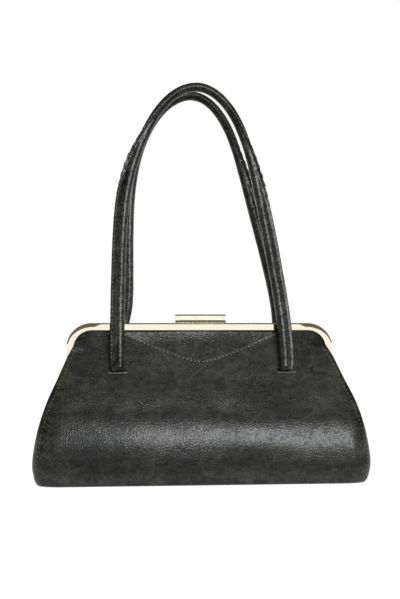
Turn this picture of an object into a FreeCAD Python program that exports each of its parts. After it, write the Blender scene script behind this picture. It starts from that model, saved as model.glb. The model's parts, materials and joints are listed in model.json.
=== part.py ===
"""Framed leather handbag with a bar snap and two rolled handles.

All sizes are in millimetres. X runs along the frame, the front faces -Y and Z
is up. The origin lies on the table, under the middle of the bag.
"""
import FreeCAD, Part
import math
import os

Vector = FreeCAD.Vector
ALONG = Vector(1, 0, 0)
ACROSS = Vector(0, 1, 0)
UP = Vector(0, 0, 1)
CENTRE = Vector(0, 0, 0)

# The bag as a whole
BAG_WIDTH = 314.0  # widest place, low on the body
BAG_DEPTH = 96.0  # front to rear at the ridge
LEATHER = 1.6
LINING = 0.8
CLEAR = 0.3  # between soft sheets that move past each other
FIT = 0.05  # between metal pieces that turn or slide into each other
OVERRUN = 2.0  # how far a cutting shape passes the face it cuts

# The two frame halves
FRAME_INSET = 30.0  # bag's widest place to the outside of the frame's leg
FRAME_TOP = 149.0  # table to the top of the frame
FRAME_FACE = 7.4  # height of the face that shows
FRAME_DEPTH = 8.2  # front to rear of one half
FRAME_WALL = 1.0
FRAME_CORNER = 24.0  # outer radius of the two upper corners
FRAME_ROUND = 2.2  # rounding of the outer edge on the show side
FRAME_GAP = 0.4  # between the closed halves

# The hinge at each leg's end
HINGE_HEIGHT = 90.0  # table to the pin's axis
HINGE_EYE = 5.0  # radius of the rounded end of a hinge plate
HINGE_PLATE = 2.0
HINGE_TONGUE = 24.0  # how far a plate reaches up from the axis into its leg
HINGE_ROOM = 2.0  # between a plate's eye and the other half's leg
PIN_RADIUS = 1.5
PIN_HEAD_RADIUS = 3.2
PIN_HEAD = 1.2
WASHER_RADIUS = 3.5
WASHER = 0.7
STACK_MARGIN = 0.6  # between the outer plate and the leg's outer wall

# The bar snap on top of the frame
CLASP_LENGTH = 48.4
CLASP_RISE = 8.2  # top of the hood above the frame
HOOD_RADIUS = 5.0
HOOD_WALL = 1.4
HOOD_SETBACK = 1.2  # hood's axis in front of the closing plane
HOOD_LIP_ANGLE = 25.0  # where the rear lip ends, above the level
CLASP_FOOT = 1.0
CATCH_LENGTH = 44.0
CATCH_RADIUS = 2.15
CATCH_SETBACK = 1.6  # bar's axis behind the closing plane
CATCH_LIFT = 0.2  # bar's underside above the frame
CLASP_FOOT_GAP = 0.6  # hood's foot to the catch bar
CLASP_RIVET = 0.9
CLASP_RIVET_HEAD = 1.2
CLASP_RIVET_RISE = 0.7
CLASP_RIVET_SPACING = 30.0

# How the leather sits in the frame, and where the walls fold
TUCK_CLEAR = 0.1  # leather to the frame's lip
TUCK_GAP = 1.2  # leather's top edge to the roof of the channel
CORD_RADIUS = 0.6  # packing that wedges the leather in the channel
FOLD_LAP = 4.0  # upper wall behind the lower wall
FOLD_ABOVE_HINGE = 1.0  # top edge of the lower wall above the hinge
LINING_DROP = 13.0  # lower lining's edge below the fold
BASE_BOARD = 2.5
CORNER_START_ANGLE = 15.0  # where the side seam meets the frame's inner corner

# The front yoke, a shallow V between the handles
YOKE_WIDTH = 164.0
YOKE_POINT = 112.5  # table to the point of the V
YOKE_ROUND = 40.0
YOKE_LEATHER = 1.2
YOKE_SEAM = 6.0  # yoke that reaches under the panel

# The rolled handles
HANDLE_SPACING = 157.0  # between the two legs at the slots
HANDLE_RISE = 271.0  # top of the arch above the slots
HANDLE_RADIUS = 5.8
HANDLE_STAND = 3.0  # handle to the frame's face
FIN_REACH = 2.4  # sewn edge that stands out from the roll
FIN_THICKNESS = 2.6
SLOT_HEIGHT = 104.0  # table to the slot
SLOT_WIDTH = 15.0
SLOT_OPENING = 2.4
TAIL_WIDTH = 14.0
TAIL_LENGTH = 14.0
ROLL_ABOVE_SLOT = 3.0  # end of the roll above its slot

# Side view: height share from the base to the frame, depth share from the frame to the ridge
SECTION_SHARES = (
    (1.0, 0.0), (0.967, 0.066), (0.82, 0.25), (0.65, 0.47), (0.45, 0.78),
    (0.30, 0.98), (0.21, 1.0), (0.10, 0.955), (0.02, 0.80), (0.0, 0.64))
# Front view: height share up to the frame's corner, spread share from the frame to the widest place
SIDE_SHARES = (
    (0.0, 0.83), (0.06, 0.94), (0.17, 1.0), (0.37, 0.895), (0.58, 0.675), (0.75, 0.42), (1.0, 0.0))
# Handles: spread share of the half spacing, rise share above the slots
FRONT_HANDLE_SHARES = (
    (-0.994, 0.472), (-0.924, 0.668), (-0.70, 0.841), (-0.42, 0.956), (-0.08, 1.0), (0.19, 0.97),
    (0.42, 0.886), (0.618, 0.738), (0.764, 0.55), (0.892, 0.343))
REAR_HANDLE_SHARES = (
    (-0.89, 0.30), (-0.87, 0.53), (-0.82, 0.69), (-0.68, 0.83), (-0.42, 0.945), (-0.09, 0.995),
    (0.19, 0.955), (0.41, 0.86), (0.57, 0.73), (0.70, 0.58), (0.87, 0.39))
ARC_SHARE = 0.45  # of the shorter run, taken by the arc at a corner of a handle's line
CURVE_STEPS = 18  # spans of a curve that runs beside another
SEARCH_STEPS = 40  # halvings when a height is looked up on a curve

# Places that follow from the sizes
FRAME_WIDTH = BAG_WIDTH - FRAME_INSET * 2  # outside of one leg to the outside of the other
HALF_GAP = FRAME_GAP / 2
FRAME_FRONT = HALF_GAP + FRAME_DEPTH
MOUTH = FRAME_TOP - FRAME_FACE
CORNER_X = FRAME_WIDTH / 2 - FRAME_CORNER
CORNER_Z = FRAME_TOP - FRAME_CORNER
LEG_END = HINGE_HEIGHT + HINGE_EYE + HINGE_ROOM
TUCK_DEPTH = FRAME_FRONT - FRAME_WALL - TUCK_CLEAR
TUCK_TOP = FRAME_TOP - FRAME_WALL - TUCK_GAP
SHEET_STEP = LEATHER + CLEAR
RIDGE_DEPTH = BAG_DEPTH / 2 - SHEET_STEP
FOLD = HINGE_HEIGHT + FOLD_ABOVE_HINGE
LINING_FACE = LEATHER + CLEAR + LEATHER + CLEAR  # upper lining inside the upper wall's face
BOARD_TOP = SHEET_STEP + BASE_BOARD
HANDLE_PLANE = FRAME_FRONT + HANDLE_STAND + HANDLE_RADIUS
HOOD_HEIGHT = FRAME_TOP + CLASP_RISE - HOOD_RADIUS
HOOD_FOOT_EDGE = -(CATCH_RADIUS - CATCH_SETBACK + CLASP_FOOT_GAP)
STACK_OUTER = FRAME_WIDTH / 2 - FRAME_WALL - STACK_MARGIN
REAR_PLATE_X = STACK_OUTER - HINGE_PLATE
WASHER_X = REAR_PLATE_X - FIT - WASHER
FRONT_PLATE_X = WASHER_X - FIT - HINGE_PLATE


def mirrored(shape, normal):
    """Copy of a shape on the other side of the bag."""
    return shape.mirror(CENTRE, normal)


def pair(shape):
    """A shape and its copy at the other end of the bag, as separate solids."""
    return Part.makeCompound([shape, mirrored(shape, ALONG)])


def block(x_range, y_range, z_range):
    """Box between two places on each axis."""
    sizes = [limits[1] - limits[0] for limits in (x_range, y_range, z_range)]
    corner = Vector(x_range[0], y_range[0], z_range[0])
    return Part.makeBox(sizes[0], sizes[1], sizes[2], corner)


def slab(low, high):
    """Everything in the bag between two heights."""
    reach = BAG_WIDTH / 2 + OVERRUN
    depth = BAG_DEPTH / 2 + OVERRUN
    return block((-reach, reach), (-depth, depth), (low, high))


def line(start, end):
    """Straight edge."""
    return Part.LineSegment(start, end).toShape()


def arc(start, middle, end):
    """Round edge through three points."""
    return Part.Arc(start, middle, end).toShape()


def face_of(edges):
    """Flat face inside a closed run of edges."""
    return Part.Face(Part.Wire(Part.__sortEdges__(edges)))


def curve_beside(curve, inward, side):
    """Curve that keeps its distance on the inner side of another one."""
    points = []
    for step in range(CURVE_STEPS + 1):
        place = curve.FirstParameter + (curve.LastParameter - curve.FirstParameter) * step / CURVE_STEPS
        normal = side.cross(curve.tangent(place)[0])
        points.append(curve.value(place) + normal * inward)
    beside = Part.BSplineCurve()
    beside.interpolate(Points=points)
    return beside


def wall_curve():
    """Side view of the front wall, from the frame down and under to the base."""
    points = []
    for height_share, depth_share in SECTION_SHARES:
        depth = TUCK_DEPTH + depth_share * (RIDGE_DEPTH - TUCK_DEPTH)
        height = SHEET_STEP + height_share * (MOUTH - SHEET_STEP)
        points.append(Vector(0, -depth, height))
    curve = Part.BSplineCurve()
    curve.interpolate(Points=points, InitialTangent=-UP, FinalTangent=ACROSS)
    return curve


def seam_curve():
    """Front view of the right side seam, from the base up to the frame's corner."""
    radius = FRAME_CORNER - FRAME_FACE - CLEAR
    angle = math.radians(CORNER_START_ANGLE)
    top = Vector(CORNER_X + radius * math.cos(angle), 0, CORNER_Z + radius * math.sin(angle))
    points = []
    for height_share, spread_share in SIDE_SHARES:
        spread = top.x + spread_share * (BAG_WIDTH / 2 - top.x)
        points.append(Vector(spread, 0, height_share * top.z))
    curve = Part.BSplineCurve()
    curve.interpolate(Points=points)
    return curve


WALL = wall_curve()
SEAM = seam_curve()


def wall_place(height):
    """Point of the front wall's face at a height, and the direction out of it."""
    low, high = WALL.FirstParameter, WALL.LastParameter
    for _ in range(SEARCH_STEPS):
        middle = (low + high) / 2
        if WALL.value(middle).z > height:
            low = middle
        else:
            high = middle
    tangent = WALL.tangent(low)[0]
    return WALL.value(low), tangent.cross(ALONG)


def wall_sheet(near, far):
    """Sheet along the bag that follows the front wall between two depths inside its face."""
    outer = curve_beside(WALL, near, ALONG)
    inner = curve_beside(WALL, far, ALONG)
    outer_top = Vector(0, -TUCK_DEPTH + near, TUCK_TOP)
    inner_top = Vector(0, -TUCK_DEPTH + far, TUCK_TOP)
    edges = [
        line(outer_top, outer.StartPoint), outer.toShape(), line(outer.EndPoint, inner.EndPoint),
        inner.toShape(), line(inner.StartPoint, inner_top), line(inner_top, outer_top)]
    reach = BAG_WIDTH / 2 + OVERRUN
    face = face_of(edges)
    face.translate(ALONG * -reach)
    return face.extrude(ALONG * (reach * 2))


def outline(inset):
    """Front view of the whole wall, as a block through the bag."""
    right = curve_beside(SEAM, inset, -ACROSS)
    low = right.StartPoint
    top = right.EndPoint
    corner = Vector(CORNER_X, 0, CORNER_Z)
    radius = (top - corner).Length
    start_angle = math.atan2(top.z - corner.z, top.x - corner.x)
    middle_angle = (start_angle + math.pi / 2) / 2
    middle = corner + Vector(math.cos(middle_angle), 0, math.sin(middle_angle)) * radius
    shoulder = corner + UP * radius
    peak = Vector(CORNER_X, 0, FRAME_TOP)
    half = [right.toShape(), arc(top, middle, shoulder), line(shoulder, peak)]
    other = [mirrored(edge, ALONG) for edge in half]
    left_low = Vector(-low.x, 0, low.z)
    left_peak = Vector(-peak.x, 0, peak.z)
    face = face_of(half + other + [line(low, left_low), line(peak, left_peak)])
    depth = BAG_DEPTH / 2 + OVERRUN
    face.translate(ACROSS * -depth)
    return face.extrude(ACROSS * (depth * 2))


def hollow(inset):
    """Side view of the room between the front and rear walls, as a block along the bag."""
    front = curve_beside(WALL, inset, ALONG)
    top = front.StartPoint
    low = front.EndPoint
    rear_top = Vector(0, -top.y, top.z)
    rear_low = Vector(0, -low.y, low.z)
    edges = [front.toShape(), line(low, rear_low), mirrored(front.toShape(), ACROSS), line(rear_top, top)]
    reach = BAG_WIDTH / 2 + OVERRUN
    face = face_of(edges)
    face.translate(ALONG * -reach)
    return face.extrude(ALONG * (reach * 2))


def side_sheet(near, far):
    """Sheet across the bag that follows the right side seam between two insets."""
    outer = curve_beside(SEAM, near, -ACROSS)
    inner = curve_beside(SEAM, far, -ACROSS)
    edges = [
        outer.toShape(), line(outer.EndPoint, inner.EndPoint), inner.toShape(),
        line(inner.StartPoint, outer.StartPoint)]
    face = face_of(edges)
    depth = BAG_DEPTH / 2 + OVERRUN
    face.translate(ACROSS * -depth)
    return face.extrude(ACROSS * (depth * 2))


def yoke_block(spread):
    """The V of the yoke as a block through the front wall, wider by a set amount."""
    half = YOKE_WIDTH / 2 + spread
    point = Vector(0, 0, YOKE_POINT - spread)
    shoulder = Vector(half, 0, MOUTH)
    slope = (shoulder - point).normalize()
    turn = math.atan2(slope.z, slope.x)
    centre = point + UP * (YOKE_ROUND / math.cos(turn))
    touch = point + slope * (YOKE_ROUND * math.tan(turn))
    bottom = centre - UP * YOKE_ROUND
    left_touch = Vector(-touch.x, 0, touch.z)
    left_shoulder = Vector(-half, 0, MOUTH)
    peak = Vector(half, 0, FRAME_TOP)
    left_peak = Vector(-half, 0, FRAME_TOP)
    face = face_of([
        line(touch, shoulder), line(shoulder, peak), line(peak, left_peak), line(left_peak, left_shoulder),
        line(left_shoulder, left_touch), arc(left_touch, bottom, touch)])
    depth = BAG_DEPTH / 2 + OVERRUN
    face.translate(ACROSS * -depth)
    return face.extrude(ACROSS * depth)


def slot_block(width, opening):
    """Cutting block for the slot that the right front leg of a handle passes through."""
    middle = HANDLE_SPACING / 2
    depth = BAG_DEPTH / 2 + OVERRUN
    return block(
        (middle - width / 2, middle + width / 2), (-depth, 0),
        (SLOT_HEIGHT - opening / 2, SLOT_HEIGHT + opening / 2))


def upper_wall():
    """Upper half of a leather wall, held by the frame, with the two handle slots."""
    low = FOLD - FOLD_LAP
    wall = wall_sheet(0, LEATHER).common(outline(0)).common(slab(low, FRAME_TOP))
    gusset_room = side_sheet(-OVERRUN, SHEET_STEP).common(slab(low, FOLD + FOLD_LAP))
    return wall.cut(pair(gusset_room)).cut(pair(slot_block(SLOT_WIDTH, SLOT_OPENING)))


def lower_wall():
    """Lower half of a leather wall, which hides the fold and turns under to the base."""
    return wall_sheet(-SHEET_STEP, -CLEAR).common(outline(0)).common(slab(0, FOLD))


def front_yoke():
    """V of leather under the front panel's cut edge."""
    near = LEATHER + TUCK_CLEAR
    sheet = wall_sheet(near, near + YOKE_LEATHER)
    return sheet.common(yoke_block(YOKE_SEAM)).common(outline(0)).common(slab(FOLD, FRAME_TOP))


def upper_lining():
    """Lining of an upper wall."""
    sheet = wall_sheet(LINING_FACE, LINING_FACE + LINING)
    return sheet.common(outline(SHEET_STEP)).common(slab(FOLD - FOLD_LAP, FRAME_TOP))


def lower_lining():
    """Lining of a lower wall, from the base board to below the fold."""
    sheet = wall_sheet(0, LINING)
    low = BOARD_TOP + LINING + CLEAR * 2
    return sheet.common(outline(SHEET_STEP)).common(slab(low, FOLD - LINING_DROP))


def gusset():
    """Right side of the bag, between the walls."""
    return side_sheet(0, LEATHER).common(hollow(0)).common(slab(SHEET_STEP, FOLD))


def gusset_lining():
    """Lining of the right side, inside the wall linings."""
    low = BOARD_TOP + LINING + CLEAR * 2
    sheet = side_sheet(SHEET_STEP, SHEET_STEP + LINING)
    return sheet.common(hollow(LINING + CLEAR)).common(slab(low, FOLD - LINING_DROP))


def base_sheet(inset, low, thickness):
    """Flat sheet in the base, inset from the walls' lower edges and the side seams."""
    half_depth = -WALL.EndPoint.y - inset
    sheet = block((-BAG_WIDTH / 2, BAG_WIDTH / 2), (-half_depth, half_depth), (low, low + thickness))
    return sheet.common(outline(inset))


def tails():
    """Flat ends of a handle, sewn behind the wall, each with a neck that fills its slot."""
    near = LEATHER + TUCK_CLEAR
    middle = HANDLE_SPACING / 2
    place = block(
        (middle - TAIL_WIDTH / 2, middle + TAIL_WIDTH / 2), (-BAG_DEPTH / 2, 0),
        (SLOT_HEIGHT - TAIL_LENGTH / 2, SLOT_HEIGHT + TAIL_LENGTH / 2))
    flat = wall_sheet(near, near + LEATHER).common(place)
    neck = wall_sheet(0, near + LEATHER).common(slot_block(TAIL_WIDTH, SLOT_OPENING - CLEAR))
    return pair(flat.fuse(neck).removeSplitter())


def packing_cord():
    """Cord that wedges the leather in the straight run of the channel."""
    depth = HALF_GAP + FRAME_WALL + TUCK_CLEAR + CORD_RADIUS
    start = Vector(-CORNER_X, -depth, (MOUTH + TUCK_TOP) / 2)
    return Part.makeCylinder(CORD_RADIUS, CORNER_X * 2, start, ALONG)


def bow_edges(inset, leg_end):
    """Line of a frame half at an inset from its outside: leg, corner, top, corner, leg."""
    side = FRAME_WIDTH / 2 - inset
    radius = FRAME_CORNER - inset
    corner = Vector(CORNER_X, 0, CORNER_Z)
    diagonal = corner + Vector(math.sqrt(0.5), 0, math.sqrt(0.5)) * radius
    foot = Vector(side, 0, leg_end)
    bend = Vector(side, 0, CORNER_Z)
    shoulder = Vector(CORNER_X, 0, CORNER_Z + radius)
    half = [line(foot, bend), arc(bend, diagonal, shoulder)]
    top = line(shoulder, Vector(-shoulder.x, 0, shoulder.z))
    return half + [top] + [mirrored(edge, ALONG) for edge in half], foot


def bow_band(outer_inset, inner_inset, leg_end, rear, front):
    """Band between two insets of the frame's line, from one depth to another."""
    outer, outer_foot = bow_edges(outer_inset, leg_end)
    inner, inner_foot = bow_edges(inner_inset, leg_end)
    ends = [line(outer_foot, inner_foot)]
    ends.append(mirrored(ends[0], ALONG))
    face = face_of(outer + inner + ends)
    face.translate(ACROSS * -rear)
    return face.extrude(ACROSS * (rear - front))


def on_outside(edge):
    """Whether an edge lies on the outer line of the frame's show side."""
    middle = edge.valueAt((edge.FirstParameter + edge.LastParameter) / 2)
    if abs(middle.y + FRAME_FRONT) > FIT:
        return False
    leg = abs(abs(middle.x) - FRAME_WIDTH / 2) < FIT
    top = abs(middle.z - FRAME_TOP) < FIT
    from_corner = math.hypot(abs(middle.x) - CORNER_X, middle.z - CORNER_Z)
    bend = middle.z > CORNER_Z and abs(middle.x) > CORNER_X and abs(from_corner - FRAME_CORNER) < FIT
    return leg or top or bend


def clasp_rivet_places(depth):
    """Places on the frame's top where a clasp piece is riveted."""
    return [Vector(side * CLASP_RIVET_SPACING / 2, depth, FRAME_TOP) for side in (-1, 1)]


def rivet_holes(depth):
    """Cutting shapes for the clasp's rivets through the frame and the clasp's foot."""
    holes = []
    for place in clasp_rivet_places(depth):
        start = place - UP * (FRAME_WALL + OVERRUN)
        length = FRAME_WALL + CLASP_FOOT + OVERRUN * 2
        holes.append(Part.makeCylinder(CLASP_RIVET + FIT, length, start, UP))
    return Part.makeCompound(holes)


def frame_half(rivet_depth):
    """Front half of the frame: a channel bent to a bow, open towards the bag."""
    band = bow_band(0, FRAME_FACE, LEG_END, HALF_GAP, FRAME_FRONT)
    band = band.makeFillet(FRAME_ROUND, [edge for edge in band.Edges if on_outside(edge)])
    channel = bow_band(
        FRAME_WALL, FRAME_FACE + OVERRUN, LEG_END - OVERRUN, HALF_GAP + FRAME_WALL, FRAME_FRONT - FRAME_WALL)
    return band.cut(channel).cut(rivet_holes(rivet_depth))


def hinge_plate(inner_face):
    """Plate in the right leg of the front half, with its round eye on the hinge's axis."""
    near = -(HALF_GAP + FRAME_WALL + FIT)
    far = -(FRAME_FRONT - FRAME_WALL - FIT)
    axis = Vector(inner_face, 0, HINGE_HEIGHT)
    top = HINGE_HEIGHT + HINGE_TONGUE
    diagonal = HINGE_EYE * math.sqrt(0.5)
    near_top = Vector(inner_face, near, top)
    far_top = Vector(inner_face, far, top)
    near_low = Vector(inner_face, near, HINGE_HEIGHT + math.sqrt(HINGE_EYE ** 2 - near ** 2))
    under = axis + Vector(0, -diagonal, -diagonal)
    heel = Vector(inner_face, far, under.z + (under.y - far))
    rear_point = axis + ACROSS * HINGE_EYE
    face = face_of([
        line(far_top, near_top), line(near_top, near_low), arc(near_low, rear_point, under),
        line(under, heel), line(heel, far_top)])
    plate = face.extrude(ALONG * HINGE_PLATE)
    return plate.cut(Part.makeCylinder(PIN_RADIUS + FIT, HINGE_PLATE, axis, ALONG))


def hinge_pin():
    """Pin of the right hinge, with a domed outer head and a flat inner head."""
    inner_head = Vector(FRONT_PLATE_X - FIT - PIN_HEAD, 0, HINGE_HEIGHT)
    shank_length = STACK_OUTER + FIT - inner_head.x
    flat = Part.makeCylinder(PIN_HEAD_RADIUS, PIN_HEAD, inner_head, ALONG)
    shank = Part.makeCylinder(PIN_RADIUS, shank_length, inner_head, ALONG)
    seat = Vector(STACK_OUTER + FIT, 0, HINGE_HEIGHT)
    rim = seat + UP * PIN_HEAD_RADIUS
    crown = seat + ALONG * PIN_HEAD
    dome_radius = (PIN_HEAD_RADIUS ** 2 + PIN_HEAD ** 2) / (PIN_HEAD * 2)
    half_angle = math.asin(PIN_HEAD_RADIUS / dome_radius) / 2
    dome_centre = crown - ALONG * dome_radius
    between = dome_centre + (ALONG * math.cos(half_angle) + UP * math.sin(half_angle)) * dome_radius
    profile = face_of([line(seat, rim), arc(rim, between, crown), line(crown, seat)])
    dome = profile.revolve(seat, ALONG, 360)
    return flat.fuse([shank, dome]).removeSplitter()


def hinge_washer():
    """Washer between the two plates of the right hinge."""
    start = Vector(WASHER_X, 0, HINGE_HEIGHT)
    ring = Part.makeCylinder(WASHER_RADIUS, WASHER, start, ALONG)
    return ring.cut(Part.makeCylinder(PIN_RADIUS + FIT, WASHER, start, ALONG))


def hood_point(radius, degrees):
    """Point on the hood's round, measured up from the rear."""
    angle = math.radians(degrees)
    depth = -HOOD_SETBACK + radius * math.cos(angle)
    return Vector(-CLASP_LENGTH / 2, depth, HOOD_HEIGHT + radius * math.sin(angle))


def clasp_hood():
    """Front bar of the snap: a round hood whose rear lip closes over the catch bar."""
    inner = HOOD_RADIUS - HOOD_WALL
    foot_angle = 180 + math.degrees(math.asin((HOOD_HEIGHT - FRAME_TOP) / HOOD_RADIUS))
    middle_angle = (HOOD_LIP_ANGLE + foot_angle) / 2
    lip_out = hood_point(HOOD_RADIUS, HOOD_LIP_ANGLE)
    lip_in = hood_point(inner, HOOD_LIP_ANGLE)
    foot_out = hood_point(HOOD_RADIUS, foot_angle)
    foot_in = hood_point(inner, foot_angle)
    face = face_of([
        arc(lip_out, hood_point(HOOD_RADIUS, middle_angle), foot_out), line(foot_out, foot_in),
        arc(foot_in, hood_point(inner, middle_angle), lip_in), line(lip_in, lip_out)])
    hood = face.extrude(ALONG * CLASP_LENGTH)
    foot = block(
        (-CLASP_LENGTH / 2, CLASP_LENGTH / 2), (foot_out.y, HOOD_FOOT_EDGE),
        (FRAME_TOP, FRAME_TOP + CLASP_FOOT))
    whole = hood.fuse(foot).removeSplitter()
    return whole.cut(rivet_holes(hood_rivet_depth()))


def hood_rivet_depth():
    """Depth of the hood's rivets, clear of the channel's rear lip."""
    return -(HALF_GAP + FRAME_WALL + CLEAR + CLASP_RIVET_HEAD)


def catch_rivet_depth():
    """Depth of the catch bar's rivets, behind the hood's lip."""
    return CATCH_SETBACK + CATCH_RADIUS + CLASP_RIVET_HEAD + FIT


def catch_bar():
    """Rear bar of the snap, a round rod on a flat foot."""
    start = Vector(-CATCH_LENGTH / 2, CATCH_SETBACK, FRAME_TOP + CATCH_LIFT + CATCH_RADIUS)
    rod = Part.makeCylinder(CATCH_RADIUS, CATCH_LENGTH, start, ALONG)
    rear = catch_rivet_depth() + CLASP_RIVET_HEAD
    foot = block(
        (-CATCH_LENGTH / 2, CATCH_LENGTH / 2), (CATCH_SETBACK, rear), (FRAME_TOP, FRAME_TOP + CLASP_FOOT))
    return rod.fuse(foot).removeSplitter().cut(rivet_holes(catch_rivet_depth()))


def clasp_rivets(depth):
    """Two rivets that hold a clasp piece to the top of its frame half."""
    rivets = []
    for place in clasp_rivet_places(depth):
        tail = place - UP * (FRAME_WALL + CLASP_RIVET_RISE)
        shank = Part.makeCylinder(CLASP_RIVET, FRAME_WALL + CLASP_FOOT + CLASP_RIVET_RISE, tail, UP)
        clinch = Part.makeCylinder(CLASP_RIVET_HEAD, CLASP_RIVET_RISE, tail, UP)
        head = Part.makeCylinder(CLASP_RIVET_HEAD, CLASP_RIVET_RISE, place + UP * CLASP_FOOT, UP)
        rivets.append(shank.fuse([clinch, head]).removeSplitter())
    return Part.makeCompound(rivets)


def handle_points(route_shares):
    """Corner points of a front handle's line, from the left slot to the right one."""
    face, outward = wall_place(SLOT_HEIGHT + ROLL_ABOVE_SLOT)
    start = face + outward * (HANDLE_RADIUS + CLEAR)
    half = HANDLE_SPACING / 2
    ends = [Vector(half, start.y, start.z), Vector(half, -HANDLE_PLANE, MOUTH)]
    points = [Vector(-end.x, end.y, end.z) for end in ends]
    for spread_share, rise_share in route_shares:
        points.append(Vector(spread_share * half, -HANDLE_PLANE, SLOT_HEIGHT + rise_share * HANDLE_RISE))
    return points + [ends[1], ends[0]]


def rounded_path(points):
    """Straight runs joined by tangent arcs, each as large as its shorter run allows."""
    edges = []
    last = points[0]
    for before, corner, after in zip(points, points[1:], points[2:]):
        back = before - corner
        ahead = after - corner
        reach = min(back.Length, ahead.Length) * ARC_SHARE
        back.normalize()
        ahead.normalize()
        start = corner + back * reach
        end = corner + ahead * reach
        half_open = back.getAngle(ahead) / 2
        radius = reach * math.tan(half_open)
        bisector = (back + ahead).normalize()
        middle = corner + bisector * (radius / math.sin(half_open) - radius)
        edges.append(line(last, start))
        edges.append(arc(start, middle, end))
        last = end
    edges.append(line(last, points[-1]))
    return Part.Wire(edges)


def swept(path, section):
    """Solid along a path, with its section kept square to the handle's plane."""
    sweep = Part.BRepOffsetAPI.MakePipeShell(path)
    sweep.setBiNormalMode(ACROSS)
    sweep.add(section)
    sweep.build()
    sweep.makeSolid()
    return sweep.shape()


def round_section(points, radius):
    """Circle round the start of a handle's line."""
    direction = (points[1] - points[0]).normalize()
    return Part.Wire(Part.Circle(points[0], direction, radius).toShape())


def finned_section(points):
    """Round of the roll with its sewn edge, which stands out on the outer side of the arch."""
    start = points[0]
    outward = -ALONG
    sideways = (points[1] - points[0]).normalize().cross(outward)
    half = FIN_THICKNESS / 2
    root = outward * math.sqrt(HANDLE_RADIUS ** 2 - half ** 2)
    tip = outward * (HANDLE_RADIUS + FIN_REACH)
    corners = [start + root + sideways * half, start + tip + sideways * half,
               start + tip - sideways * half, start + root - sideways * half]
    back = start - outward * HANDLE_RADIUS
    edges = [line(first, second) for first, second in zip(corners, corners[1:])]
    return Part.Wire(edges + [arc(corners[3], back, corners[0])])


def handle(route_shares):
    """Leather roll and the cord core inside it, for a front handle."""
    points = handle_points(route_shares)
    path = rounded_path(points)
    bore = HANDLE_RADIUS - LEATHER
    cover = swept(path, finned_section(points)).cut(swept(path, round_section(points, bore)))
    core = swept(path, round_section(points, bore - CLEAR))
    return cover, core


def save(name, shape):
    """Write one piece."""
    shape.exportStep("parts/" + name + ".step")
    print(name, len(shape.Solids), "solids", round(shape.Volume), "mm3", shape.isValid())


def build_body():
    """Lower bag: base, walls, sides, lining and hinge pins."""
    wall = lower_wall()
    side = gusset()
    lining = lower_lining()
    side_lining = gusset_lining()
    save("base_panel", base_sheet(0, 0, LEATHER))
    save("base_board", base_sheet(SHEET_STEP, SHEET_STEP, BASE_BOARD))
    save("base_lining", base_sheet(SHEET_STEP, BOARD_TOP + CLEAR, LINING))
    save("front_panel_lower", wall)
    save("rear_panel_lower", mirrored(wall, ACROSS))
    save("right_gusset", side)
    save("left_gusset", mirrored(side, ALONG))
    save("front_lining_lower", lining)
    save("rear_lining_lower", mirrored(lining, ACROSS))
    save("right_lining", side_lining)
    save("left_lining", mirrored(side_lining, ALONG))
    save("hinge_pins", pair(hinge_pin()))
    save("hinge_washers", pair(hinge_washer()))


def build_jaws():
    """Front and rear jaws: frame half, hinge plates, clasp piece, upper wall and lining."""
    wall = upper_wall()
    lining = upper_lining()
    cord = packing_cord()
    tail = tails()
    save("front_frame", frame_half(hood_rivet_depth()))
    save("rear_frame", mirrored(frame_half(-catch_rivet_depth()), ACROSS))
    save("front_hinge_plates", pair(hinge_plate(FRONT_PLATE_X)))
    save("rear_hinge_plates", mirrored(pair(hinge_plate(REAR_PLATE_X)), ACROSS))
    save("clasp_hood", clasp_hood())
    save("clasp_hood_rivets", clasp_rivets(hood_rivet_depth()))
    save("catch_bar", catch_bar())
    save("catch_bar_rivets", clasp_rivets(catch_rivet_depth()))
    save("front_panel_upper", wall.cut(yoke_block(0)))
    save("rear_panel_upper", mirrored(wall, ACROSS))
    save("front_yoke", front_yoke())
    save("front_lining_upper", lining)
    save("rear_lining_upper", mirrored(lining, ACROSS))
    save("front_packing_cord", cord)
    save("rear_packing_cord", mirrored(cord, ACROSS))
    save("front_handle_tails", tail)
    save("rear_handle_tails", mirrored(tail, ACROSS))


def build_handles():
    """Both rolled handles."""
    front_cover, front_core = handle(FRONT_HANDLE_SHARES)
    rear_cover, rear_core = handle(REAR_HANDLE_SHARES)
    save("front_handle_cover", front_cover)
    save("front_handle_core", front_core)
    save("rear_handle_cover", mirrored(rear_cover, ACROSS))
    save("rear_handle_core", mirrored(rear_core, ACROSS))


os.makedirs("parts", exist_ok=True)
build_body()
build_jaws()
build_handles()
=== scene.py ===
"""Leather, lining, stitching and metal finish for the framed handbag.

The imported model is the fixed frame. Lengths in the tables are millimetres in
that frame: X along the bag, the front faces -Y, Z up from the table.
"""
import json
import math
from collections import namedtuple

import bpy
from bpy.props import FloatProperty, FloatVectorProperty, PointerProperty
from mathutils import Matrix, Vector, noise


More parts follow.
